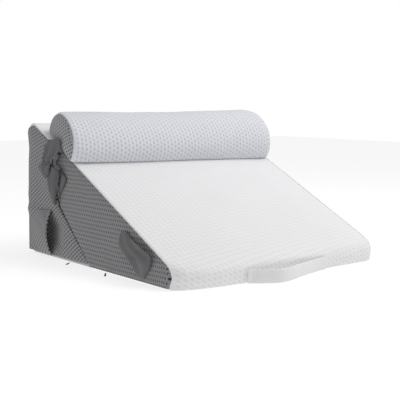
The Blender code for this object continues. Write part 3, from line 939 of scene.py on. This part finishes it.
@dataclass
class RearWedge:
    """The tall rear wedge: a white knitted cover with mesh sides and back, and a pale strip at its base that is
    darkened with painted shade.
    """

    base_strip: float = 0.0085

    def outline(self, top_round: float) -> Outline:
        """Side outline, anticlockwise from the lower front corner."""
        foot = SPLIT_FOOT_Y + 1.54 * WEDGE_GAP
        knee = SPLIT_KNEE_Y + 0.88 * WEDGE_GAP, SPLIT_KNEE_Z - 0.57 * WEDGE_GAP
        top = SPLIT_TOP_Y + 1.22 * WEDGE_GAP
        return Outline(
            [
                Corner(foot, 0.0, 0.003),
                Corner(REAR_Y, 0.0, 0.018),
                Corner(REAR_Y + 0.001, slope_z(REAR_Y + 0.001), top_round),
                Corner(top, slope_z(top), 0.010),
                Corner(*knee, 0.018),
            ],
            [50, 50, 30, 40, 40],
        )

    def relief(self, points: np.ndarray) -> np.ndarray:
        """Waves of the cover, kept off the faces that touch the floor and the front wedge."""
        x, y, z = points.T
        from_side = HALF_WIDTH - np.abs(x)
        at_back = smoothstep(0.24, 0.28, y)
        slope = NOSE_HEIGHT + (y - NOSE_Y) * SLOPE_RISE
        on_top = smoothstep(-0.030, -0.004, z - slope) * smoothstep(SPLIT_TOP_Y + 0.01, SPLIT_TOP_Y + 0.05, y)
        waves = cloud(points, (0.13, 0.10, 0.10), 9.4) * smoothstep(0.004, 0.04, from_side)
        ripple = 0.0007 * waves * np.maximum(at_back, on_top) * smoothstep(0.004, 0.02, z)
        return ripple + self.edge_swell(z) * smoothstep(0.272, 0.284, y) * smoothstep(-0.22, -0.295, x)

    def edge_swell(self, z: np.ndarray) -> np.ndarray:
        """How far the filling pushes the left rear edge out at a height."""
        return np.interp(z, REAR_EDGE[:, 0], REAR_EDGE[:, 1])

    def bulged(self, y: np.ndarray, z: np.ndarray) -> np.ndarray:
        """The left side: full along its rear edge, and pressed in behind the mouth of the pocket."""
        full = self.edge_swell(z) * smoothstep(0.215, 0.280, y)
        along = smoothstep(0.112, 0.186, y) * (1 - smoothstep(0.200, 0.235, y))
        upright = smoothstep(0.004, 0.045, z) * (1 - smoothstep(0.070, 0.110, z))
        return full - 0.0135 * along * upright

    def patch(self, swelling: float) -> np.ndarray:
        """Grid of (y, z) points that fills a side panel."""
        outline = self.outline(0.018).inset([self.base_strip, 0.0010, 0.0024, -0.0002, -0.0002])
        low = outline.side(0, 1)
        rear = outline.side(1, 2)
        rear[:, 0] += swelling * self.edge_swell(rear[:, 1])
        high = outline.side(2, 3)[::-1]
        split = outline.side(3, 0)[::-1]
        rear[0], rear[-1] = low[-1], high[-1]
        return coons(low, high, split, rear, (120, 130))

    def back_panel(self) -> bpy.types.Object:
        """The mesh panel across the back."""
        half, low, high = 0.290, 0.020, 0.292
        x, z = np.meshgrid(np.linspace(-half, half, 90), np.linspace(low, high, 50), indexing="ij")
        patch = np.dstack([x, z])
        depth = depth_inside(patch)
        layers = []
        for thickness in (CLOTH, 0.0):
            lift = 0.0016 * (1 - np.exp(-depth / 0.012))
            waves = cloud(np.dstack([x, depth * 0, z]).reshape(-1, 3), (0.12, 1.0, 0.09), 2.2).reshape(depth.shape)
            y = REAR_Y + 0.0008 + lift + 0.0005 * waves * smoothstep(0.0, 0.03, depth) + thickness
            layers.append(np.dstack([x, y, z]))
        piece = make_slab("rear_back_mesh", layers[0], layers[1], patch)
        fit(piece, SPACER_MESH, "rear_back")
        return piece

    def build(self) -> None:
        """Build and dress the wedge."""
        cover = Cover("rear_cover", self.outline(0.012), plain_shape, self.relief).build()
        fit(cover, BASE_KNIT_PAINTED_SHADE, "rear_wedge")
        for name, side, swelling in (("rear_side_left", -1, 1.0), ("rear_side_right", 1, 0.0)):
            relief = self.bulged if side < 0 else flat_relief
            panel = SidePanel(f"{name}_mesh", side, self.patch(swelling), plain_shape, relief)
            piece = fit(panel.build(), BIAS_MESH, name)
            panel.flat_size()
        self.back_panel()


BOLSTER_SECTIONS = np.array(
    [
        (-0.2970, 0.4200, 0.157, 0.0750, 0.022),
        (-0.2900, 0.4165, 0.164, 0.0770, 0.019),
        (-0.2700, 0.4140, 0.168, 0.0775, 0.014),
        (-0.2300, 0.4120, 0.170, 0.0775, 0.006),
        (-0.1700, 0.4100, 0.171, 0.0770, 0.000),
        (-0.0800, 0.4085, 0.171, 0.0768, 0.000),
        (0.0100, 0.4090, 0.171, 0.0775, 0.000),
        (0.1000, 0.4080, 0.171, 0.0815, 0.000),
        (0.1800, 0.4060, 0.172, 0.0858, 0.000),
        (0.2400, 0.4050, 0.173, 0.0890, 0.000),
        (0.2750, 0.4055, 0.173, 0.0890, 0.000),
        (0.2900, 0.4085, 0.169, 0.0870, 0.000),
        (0.2970, 0.4130, 0.161, 0.0840, 0.000),
    ]
)


def on_slope(x: np.ndarray, along: np.ndarray, height: np.ndarray) -> np.ndarray:
    """Points given by their distance up the slope and their height above it."""
    y = NOSE_Y + along * math.cos(SLOPE) - height * math.sin(SLOPE)
    z = NOSE_HEIGHT + along * math.sin(SLOPE) + height * math.cos(SLOPE)
    return np.stack([x, y, z], axis=-1)


@dataclass
class HeadBolster:
    """The half-moon bolster in dimpled knit with its two mesh end caps."""

    upright: float = 0.018
    foot_round: float = 0.009
    lift: float = 0.0008
    dome: float = 0.0075
    arch_steps: int = 90

    def profile(self, width: float, height: float) -> np.ndarray:
        """Section as (across, height) points: a flat base, short sides and a rounded top."""
        half, foot = width / 2, self.foot_round
        base = [(-half + foot + (width - 2 * foot) * k / 30, 0.0) for k in range(31)]
        turns = [math.pi / 2 * k / 5 for k in range(1, 6)]
        rise = [(half - foot + foot * math.sin(t), foot - foot * math.cos(t)) for t in turns]
        crown = height - self.upright
        steps = [math.pi * k / self.arch_steps for k in range(self.arch_steps + 1)]
        arch = [(half * math.cos(t), self.upright + crown * math.sin(t)) for t in steps]
        fall = [(-half + foot - foot * math.sin(t), foot - foot * math.cos(t)) for t in reversed(turns)]
        return np.array([*base, *rise, *arch, *fall])

    def ring(self, x: float, draw: float = 0.0, shift: float = 0.0) -> np.ndarray:
        """One section of the bolster, drawn in towards its middle and shifted along it."""
        front, width, height, drawn = (np.interp(x, BOLSTER_SECTIONS[:, 0], BOLSTER_SECTIONS[:, k]) for k in range(1, 5))
        profile = self.profile(width, height)
        middle = np.array([0.0, height * 0.42])
        kept = middle + (profile - middle) * (1 - draw)
        kept[:, 1] = np.maximum(kept[:, 1], 0.0)
        back = (kept[:, 0] + width / 2) / width
        return on_slope(x + shift + drawn * back, front + width / 2 + kept[:, 0], self.lift + kept[:, 1])

    def relief(self, points: np.ndarray) -> np.ndarray:
        """Soft lumps of the filling and the puckers along the end seams."""
        from_end = 0.297 - np.abs(points[:, 0])
        free = smoothstep(0.006, 0.02, self.above_slope(points))
        lumps = 0.0011 * cloud(points, (0.09, 0.06, 0.05), 4.4)
        puckers = 0.0009 * cloud(points, (0.05, 0.013, 0.013), 8.8) * (1 - smoothstep(0.004, 0.03, from_end))
        return (lumps * smoothstep(0.0, 0.02, from_end) + puckers) * free

    def above_slope(self, points: np.ndarray) -> np.ndarray:
        """Height of points above the slope, square to it."""
        rise = points[:, 2] - (NOSE_HEIGHT + (points[:, 1] - NOSE_Y) * SLOPE_RISE)
        return rise * math.cos(SLOPE)

    def body(self) -> bpy.types.Object:
        """The filled body."""
        ends = BOLSTER_SECTIONS[0, 0], BOLSTER_SECTIONS[-1, 0]
        rim = [0.0000, 0.0006, 0.0016, 0.0030, 0.0048, 0.0070]
        places = [(ends[0] + r, 0.0070) for r in rim] + [(ends[1] - r, 0.0070) for r in rim]
        places += [(x, 0.0) for x in np.linspace(ends[0] + 0.011, ends[1] - 0.011, 118)]
        rings, cloth = [], []
        for x, reach in sorted(places):
            from_end = min(x - ends[0], ends[1] - x)
            draw = 0.06 * (1 - math.sqrt(max(0.0, 1 - (1 - min(1.0, from_end / 0.0070)) ** 2)))
            ring = self.ring(x, draw)
            rings.append(ring)
            walked = np.concatenate([[0.0], np.cumsum(np.linalg.norm(np.diff(ring, axis=0), axis=1))])
            cloth.append(np.column_stack([np.full(len(ring), x), walked]))
        piece = make_loft("bolster_cover", np.array(rings), np.array(cloth))
        fill_out(piece, 0.0022, self.held)
        push(piece, self.relief)
        return piece

    def held(self, points: np.ndarray) -> np.ndarray:
        """The base and the end seams stay where they are while the cover fills."""
        from_end = 0.297 - np.abs(points[:, 0])
        return np.maximum(1 - smoothstep(0.001, 0.008, self.above_slope(points)), 1 - smoothstep(0.001, 0.007, from_end))

    def cap(self, name: str, x: float, side: int) -> bpy.types.Object:
        """A mesh end cap: a low dome that dips at its seam."""
        rim = self.ring(x, 0.070)
        middle = rim.mean(axis=0)
        outer, inner = [], []
        for share in np.linspace(1.0, 0.0, 40):
            ring = middle + (rim - middle) * max(share, 0.004)
            rise = self.dome * (1 - share**3.2) + 0.0004
            outer.append(ring + np.array([side * (rise + CLOTH * 0.7), 0, 0]))
            inner.append(ring + np.array([side * (rise - CLOTH * 0.3), 0, 0]))
        rings = np.array(outer + inner[::-1])
        waves = cloud(rings.reshape(-1, 3), (1.0, 0.05, 0.04), 6.1 * side).reshape(rings.shape[:2])
        rings[:, :, 0] += side * 0.0008 * waves * np.linspace(0, 1, 40)[np.r_[0:40, 39:-1:-1]][:, None]
        return make_loft(name, rings, rings[:, :, 1:], looped=True)

    def build(self) -> None:
        """Build and dress the bolster."""
        body = fit(self.body(), QUILTED_KNIT, "bolster")
        for name, x, side in (
            ("bolster_cap_left", BOLSTER_SECTIONS[0, 0], -1),
            ("bolster_cap_right", BOLSTER_SECTIONS[-1, 0], 1),
        ):
            piece = fit(self.cap(f"{name}_mesh", x, side), CAP_MESH, name)


@dataclass
class SidePocket:
    """The mesh pocket on the left of the rear wedge, its mouth gaping towards the nose."""

    mouth_y: float = 0.170
    rear_y: float = 0.2836
    low_z: float = 0.0070
    high_z: float = 0.1120
    gape: float = 0.0165

    def grid(self, lift: float) -> np.ndarray:
        """Points of one face of the pocket."""
        across, up = 70, 64
        back = np.linspace(0, 1, across)[:, None] * np.ones((1, up))
        high = np.ones((across, 1)) * np.linspace(0, 1, up)[None]
        arch = np.sin(np.pi * np.clip(high, 1e-4, 1 - 1e-4)) ** 0.75
        gape = self.gape * arch * (1 - smoothstep(0.0, 1.0, back)) ** 0.8
        y = self.mouth_y + (self.rear_y - self.mouth_y) * back + 0.004 * (1 - back) * (1 - arch)
        z = self.low_z + (self.high_z - self.low_z) * high - 0.006 * back * high
        crease = np.sin(2 * np.pi * (high * 3.2 - back * 1.6)) * np.exp(-back * 2.2) * smoothstep(0.45, 0.8, high)
        bump = 0.0014 * crease * smoothstep(0.0, 0.10, back) * (1 - smoothstep(0.8, 1.0, back))
        seam = 0.0016 * bump_at(high, 0.97, 0.05) * smoothstep(0.6, 1.0, back)
        hem = 0.0009 * (1 - smoothstep(0.05, 0.075, back))
        x = -(HALF_WIDTH + 0.0010 + gape + bump + seam + hem * (1 if lift else 0) + lift)
        return np.dstack([x, y, z])

    def build(self) -> None:
        """Build and dress the pocket."""
        outer, inner = self.grid(CLOTH), self.grid(0.0)
        piece = make_slab("rear_pocket_mesh", outer, inner, outer[:, :, 1:])
        fit(piece, BIAS_MESH, "rear_pocket")


@dataclass
class Strap:
    """A flat strap against the left side, between two edges.

    Args:
        rails: rows of one edge's y and z, the other edge's y and z, and the stand-off from the side.
        folds: adds to the stand-off: takes distance along, distance across and gives metres.
    """

    name: str
    node: str
    rails: list[tuple[float, float, float, float, float]]
    finish: Finish
    shape: "callable"
    folds: "callable"
    rests_on: str
    steps: int = 10
    across: int = 31
    thickness: float = 0.0020

    def build(self) -> bpy.types.Object:
        """Build and dress the strap."""
        rows = catmull_rom(np.array(self.rails), self.steps)
        t = np.linspace(-1, 1, self.across)
        share = (t + 1) / 2
        yz = rows[:, None, :2] * (1 - share)[None, :, None] + rows[:, None, 2:4] * share[None, :, None]
        middle = (rows[:, :2] + rows[:, 2:4]) / 2
        walked = np.concatenate([[0.0], np.cumsum(np.linalg.norm(np.diff(middle, axis=0), axis=1))])
        run = (walked / walked[-1])[:, None] * np.ones((1, self.across))
        spread = np.ones((len(rows), 1)) * t[None]
        lift = rows[:, 4, None] + self.folds(run, spread)
        edge = np.sqrt(np.clip(1 - np.abs(t) ** 8, 0.0, 1.0))[None]
        faces = []
        for sign in (1, -1):
            x = -(HALF_WIDTH + np.maximum(lift, 0.0020) + sign * self.thickness / 2 * (0.15 + 0.85 * edge))
            faces.append(shaped(np.dstack([x, yz]), self.shape))
        widths = np.linalg.norm(rows[:, :2] - rows[:, 2:4], axis=1)
        cloth = np.dstack([walked[:, None] * np.ones((1, self.across)), widths[:, None] * t[None] / 2])
        piece = make_slab(self.name, faces[0], faces[1], cloth)
        fit(piece, self.finish, self.node)
        return piece


def tie_folds(run: np.ndarray, spread: np.ndarray) -> np.ndarray:
    """Gathers of the tie: long pleats that pinch above its hanging end."""
    pleats = 0.0020 * np.sin(spread * 6.0 + run * 4.0) * np.sin(np.pi * run)
    pinch = -0.0040 * bump_at(run, 0.60, 0.10)
    belly = 0.0030 * (1 - spread**2) * smoothstep(0.62, 0.80, run)
    return pleats + pinch + belly


def tab_folds(run: np.ndarray, spread: np.ndarray) -> np.ndarray:
    """The tab is rounded, with its front edge standing off the split."""
    return 0.0020 * (1 - spread**2) + 0.0014 * smoothstep(0.0, 1.0, spread) + 0.0005 * np.sin(run * 7.0 + spread * 2.0)


def flap_folds(run: np.ndarray, spread: np.ndarray) -> np.ndarray:
    """The flap is rolled along its middle."""
    return 0.0018 * (1 - spread**2)


def handle_folds(run: np.ndarray, spread: np.ndarray) -> np.ndarray:
    """The grab handle is cupped, and turns under in its lower half."""
    cup = 0.0034 * (1 - spread**2) * np.sin(np.pi * run)
    under = -0.0060 * spread * smoothstep(0.42, 0.70, run) * (1 - smoothstep(0.86, 1.0, run))
    return cup + under


SIDE_HANDLE = [
    (-0.1173, 0.0983, -0.1347, 0.0994, 0.0026),
    (-0.1160, 0.0881, -0.1543, 0.0898, 0.0070),
    (-0.1197, 0.0765, -0.1765, 0.0829, 0.0120),
    (-0.1296, 0.0636, -0.2004, 0.0773, 0.0160),
    (-0.1517, 0.0545, -0.2200, 0.0712, 0.0185),
    (-0.1728, 0.0474, -0.2325, 0.0641, 0.0190),
    (-0.1852, 0.0378, -0.2344, 0.0532, 0.0170),
    (-0.1898, 0.0279, -0.2275, 0.0397, 0.0125),
    (-0.1916, 0.0184, -0.2144, 0.0250, 0.0070),
    (-0.1925, 0.0099, -0.2035, 0.0127, 0.0028),
]
TIE = [
    (0.1812, 0.2766, 0.1302, 0.2786, 0.0050),
    (0.1875, 0.2694, 0.1294, 0.2639, 0.0055),
    (0.1982, 0.2608, 0.1300, 0.2548, 0.0060),
    (0.1978, 0.2503, 0.1341, 0.2473, 0.0068),
    (0.2010, 0.2397, 0.1453, 0.2388, 0.0078),
    (0.2047, 0.2290, 0.1563, 0.2295, 0.0090),
    (0.2107, 0.2205, 0.1630, 0.2220, 0.0100),
    (0.2206, 0.2124, 0.1668, 0.2139, 0.0100),
    (0.2172, 0.2041, 0.1701, 0.2058, 0.0098),
    (0.2081, 0.1971, 0.1745, 0.1981, 0.0090),
    (0.1974, 0.1899, 0.1812, 0.1899, 0.0080),
    (0.1935, 0.1866, 0.1878, 0.1868, 0.0070),
]
REAR_TAB = [
    (0.1775, 0.2177, 0.1325, 0.2076, 0.0046),
    (0.1816, 0.2093, 0.1291, 0.2013, 0.0050),
    (0.1862, 0.1973, 0.1321, 0.1896, 0.0052),
    (0.1877, 0.1844, 0.1367, 0.1767, 0.0050),
    (0.1853, 0.1693, 0.1404, 0.1637, 0.0048),
    (0.1796, 0.1546, 0.1449, 0.1506, 0.0044),
    (0.1733, 0.1410, 0.1480, 0.1387, 0.0038),
    (0.1663, 0.1288, 0.1504, 0.1280, 0.0030),
]
FRONT_FLAP = [
    (0.1442, 0.2042, 0.1340, 0.2026, 0.0030),
    (0.1420, 0.1966, 0.1183, 0.1951, 0.0040),
    (0.1423, 0.1874, 0.1141, 0.1872, 0.0046),
    (0.1449, 0.1768, 0.1202, 0.1763, 0.0044),
    (0.1475, 0.1662, 0.1301, 0.1653, 0.0036),
    (0.1498, 0.1576, 0.1414, 0.1570, 0.0026),
]


@dataclass
class NoseHandle:
    """The white carrying handle that bows forward from the nose."""

    height: float = 0.029
    thickness: float = 0.0024
    path: tuple = (
        (-0.1280, -0.3200, 0.0010),
        (-0.1170, -0.3240, 0.0008),
        (-0.1000, -0.3340, 0.0006),
        (-0.0770, -0.3460, 0.0006),
        (-0.0530, -0.3502, 0.0006),
        (-0.0250, -0.3435, 0.0006),
        (0.0140, -0.3290, 0.0006),
        (0.0600, -0.3145, 0.0006),
        (0.0950, -0.3045, 0.0008),
        (0.1200, -0.3015, 0.0010),
    )

    def build(self) -> None:
        """Build and dress the handle."""
        rows = catmull_rom(np.array(self.path), 12)
        along = np.gradient(rows[:, :2], axis=0)
        along /= np.linalg.norm(along, axis=1)[:, None]
        out = np.column_stack([along[:, 1], -along[:, 0]])
        walked = np.concatenate([[0.0], np.cumsum(np.linalg.norm(np.diff(rows[:, :2], axis=0), axis=1))])
        up = np.linspace(0, 1, 19)
        roll = 0.0012 * np.sin(np.pi * up)[None] * np.ones((len(rows), 1))
        crease = -0.0016 * sum(bump_at(walked, place, 0.006) for place in (0.010, 0.019))
        roll = roll + crease[:, None] * np.sin(np.pi * up)[None]
        edge = np.sqrt(np.clip(1 - np.abs(2 * up - 1) ** 6, 0, 1))
        z = rows[:, 2, None] + self.height * up[None]
        faces = []
        for sign in (1, -1):
            off = roll + sign * self.thickness / 2 * (0.15 + 0.85 * edge)[None]
            xy = rows[:, None, :2] + out[:, None] * off[:, :, None]
            faces.append(np.dstack([xy, z]))
        cloth = np.dstack([walked[:, None] * np.ones((1, 19)), z])
        piece = make_slab("nose_handle_cloth", faces[0], faces[1], cloth)
        fit(piece, PLAIN_KNIT, "nose_handle")


@dataclass
class ZipPull:
    """A small tapered zip pull that lies on the floor."""

    name: str
    y: float
    length: float
    turned: float
    width: float = 0.0040
    thickness: float = 0.0016

    def build(self) -> None:
        """Build and dress the pull."""
        run = np.linspace(0, 1, 12)
        half = self.width / 2 * (0.62 + 0.38 * smoothstep(0.0, 0.7, run))
        rings, cloth = [], []
        for t, w in zip(run, half):
            end = min(t, 1 - t)
            soft = math.sqrt(min(1.0, end / 0.06)) if end < 0.06 else 1.0
            turns = np.linspace(0, 2 * math.pi, 16, endpoint=False)
            y = np.sign(np.cos(turns)) * np.abs(np.cos(turns)) ** 0.5 * w * max(soft, 0.4)
            z = np.sign(np.sin(turns)) * np.abs(np.sin(turns)) ** 0.5 * self.thickness / 2 * max(soft, 0.5)
            rings.append(np.column_stack([np.full(16, -self.length * t), y, z + self.thickness / 2]))
            cloth.append(np.column_stack([np.full(16, self.length * t), y]))
        piece = make_loft(f"{self.name}_tag", np.array(rings), np.array(cloth))
        turn = Matrix.Rotation(math.radians(self.turned), 4, "Z")
        start = -(HALF_WIDTH + 0.0003 + self.width / 2)
        piece.data.transform(Matrix.Translation((start, self.y, 0.0)) @ turn)
        fit(piece, ZIP_PLASTIC, self.name)


@dataclass
class Studio:
    """Pale floor, soft light and the photograph's camera."""

    position: tuple[float, float, float] = (-1.28968, -1.59476, 0.36176)
    azimuth: float = -38.635
    elevation: float = 6.220
    roll: float = 0.718
    lens: float = 78.96
    sky: float = 1.0

    def camera(self) -> None:
        """Place the camera."""
        a, e, r = (math.radians(v) for v in (self.azimuth, self.elevation, self.roll))
        back = Vector((math.sin(a) * math.cos(e), -math.cos(a) * math.cos(e), math.sin(e)))
        right = (-back).cross(Vector((0, 0, 1))).normalized()
        up = right.cross(-back)
        right, up = right * math.cos(r) + up * math.sin(r), up * math.cos(r) - right * math.sin(r)
        data = bpy.data.cameras.new("photo_camera")
        data.lens = self.lens
        data.sensor_width = 36.0
        data.clip_end = 20.0
        camera = bpy.data.objects.new("photo_camera", data)
        camera.matrix_world = Matrix.Translation(self.position) @ Matrix((right, up, back)).transposed().to_4x4()
        bpy.context.scene.collection.objects.link(camera)
        bpy.context.scene.camera = camera

    def area(self, name: str, place: tuple, size: float, power: float) -> None:
        """A large soft lamp that faces the pillow."""
        data = bpy.data.lights.new(name, "AREA")
        data.size = size
        data.energy = power
        lamp = bpy.data.objects.new(name, data)
        lamp.location = place
        lamp.rotation_euler = (Vector((0, 0, 0.12)) - Vector(place)).to_track_quat("-Z", "Y").to_euler()
        bpy.context.scene.collection.objects.link(lamp)

    def floor(self) -> None:
        """A wide white floor."""
        size = 6.0
        points = np.array([(-size, -size, -0.0002), (size, -size, -0.0002), (size, size, -0.0002), (-size, size, -0.0002)])
        floor = make_piece("studio_floor", points, [(0, 1, 2, 3)], points[:, :2])
        material = bpy.data.materials.new("white_studio_floor")
        material.use_nodes = True
        shader = material.node_tree.nodes["Principled BSDF"]
        shader.inputs["Base Color"].default_value = (0.35, 0.35, 0.35, 1.0)
        shader.inputs["Roughness"].default_value = 1.0
        shader.inputs["Specular IOR Level"].default_value = 0.0
        shader.inputs["Emission Color"].default_value = (1.0, 1.0, 1.0, 1.0)
        shader.inputs["Emission Strength"].default_value = 0.72
        floor.data.materials.append(material)

    def world(self) -> None:
        """White surroundings, brighter overhead."""
        scene = bpy.context.scene
        world = bpy.data.worlds.new("studio")
        world.use_nodes = True
        scene.world = world
        tree = world.node_tree
        output = tree.nodes["World Output"]
        seen = add_node(tree, "ShaderNodeBackground", {"Color": (1, 1, 1, 1), "Strength": 1.0})
        direction = add_node(tree, "ShaderNodeTexCoord").outputs["Generated"]
        height = add_node(tree, "ShaderNodeSeparateXYZ", {0: direction}).outputs["Z"]
        grade = add_node(
            tree, "ShaderNodeMapRange", {"Value": height, "From Min": 0.0, "From Max": 1.0, "To Min": 0.16, "To Max": 0.80}
        )
        level = add_node(
            tree, "ShaderNodeMath", {0: grade.outputs[0], 1: self.sky}, operation="MULTIPLY"
        )
        light = add_node(tree, "ShaderNodeBackground", {"Color": (1, 1, 1, 1), "Strength": level.outputs[0]})
        path = add_node(tree, "ShaderNodeLightPath").outputs["Is Camera Ray"]
        mixed = add_node(tree, "ShaderNodeMixShader", {0: path, 1: light.outputs[0], 2: seen.outputs[0]})
        tree.links.new(mixed.outputs[0], output.inputs["Surface"])

    def build(self) -> None:
        """Build the studio."""
        self.camera()
        self.floor()
        self.world()
        self.area("key_softbox", (1.0, -0.7, 2.0), 1.4, 24.0)
        scene = bpy.context.scene
        scene.view_settings.view_transform = "Standard"
        scene.view_settings.look = "None"


def main() -> None:
    """Build every piece."""
    logging.basicConfig(level=logging.INFO, format="%(name)s: %(message)s")
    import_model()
    FrontWedge().build()
    RearWedge().build()
    HeadBolster().build()
    SidePocket().build()
    for strap in (
        Strap("side_handle_tape", "side_handle", SIDE_HANDLE, TAPE, nose_shape, handle_folds, "front_side_left_mesh"),
        Strap("bolster_tie_mesh", "bolster_tie", TIE, TIE_MESH, plain_shape, tie_folds, "rear_side_left_mesh"),
        Strap("rear_tab_tape", "rear_tab", REAR_TAB, TAB_TAPE_PAINTED_SHADE, plain_shape, tab_folds, "rear_side_left_mesh"),
        Strap("front_flap_tape", "front_flap", FRONT_FLAP, TAPE, nose_shape, flap_folds, "front_side_left_mesh"),
    ):
        strap.build()
    NoseHandle().build()
    ZipPull("zip_pull_front", -0.0600, 0.0340, 55.0).build()
    ZipPull("zip_pull_rear", 0.0915, 0.0250, 42.0).build()
    Studio().build()


if __name__ == "__main__":
    main()
